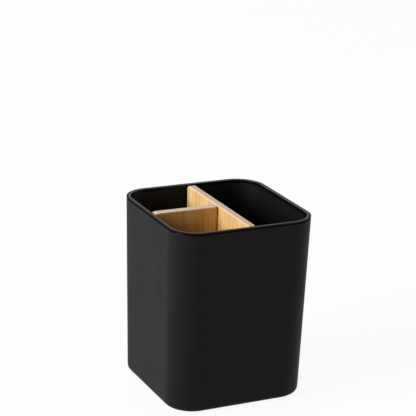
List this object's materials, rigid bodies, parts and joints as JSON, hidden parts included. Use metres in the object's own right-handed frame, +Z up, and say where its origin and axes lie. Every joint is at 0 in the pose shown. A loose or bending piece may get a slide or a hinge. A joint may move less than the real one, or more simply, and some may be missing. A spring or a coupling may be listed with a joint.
{
  "type": "toothbrush holder",
  "caption": "Square tapered cup with rounded corners: matte black shell, gloss black liner and rim, and a lift-out T-shaped bamboo divider that keeps brushes and toothpaste apart.",
  "frame": {"origin": "under the middle of the cup, on the surface that the foot pads stand on", "axes": "+Z up, -Y towards the front wall, -X towards the wall that the short divider panel meets"},
  "size_m": [0.08, 0.08, 0.0993],
  "materials": {
    "soft_touch_black": "moulded ABS with a soft matte paint",
    "gloss_black": "polished moulded ABS",
    "bamboo": "laminated bamboo, sanded and oiled",
    "dowel_wood": "plain turned wood",
    "foot_rubber": "moulded non-slip rubber"
  },
  "bodies": {
    "cup": {"outer_shell": "soft_touch_black", "inner_liner": "gloss_black", "foot_pad_front_left": "foot_rubber", "foot_pad_front_right": "foot_rubber", "foot_pad_back_left": "foot_rubber", "foot_pad_back_right": "foot_rubber"},
    "divider": {"long_divider": "bamboo", "short_divider": "bamboo", "lower_dowel": "dowel_wood", "upper_dowel": "dowel_wood"}
  },
  "joints": [
    {"name": "divider_lift", "type": "slide", "parent": "cup", "child": "divider", "axis": [0, 0, 1], "range_m": [0, 0.1]}
  ]
}
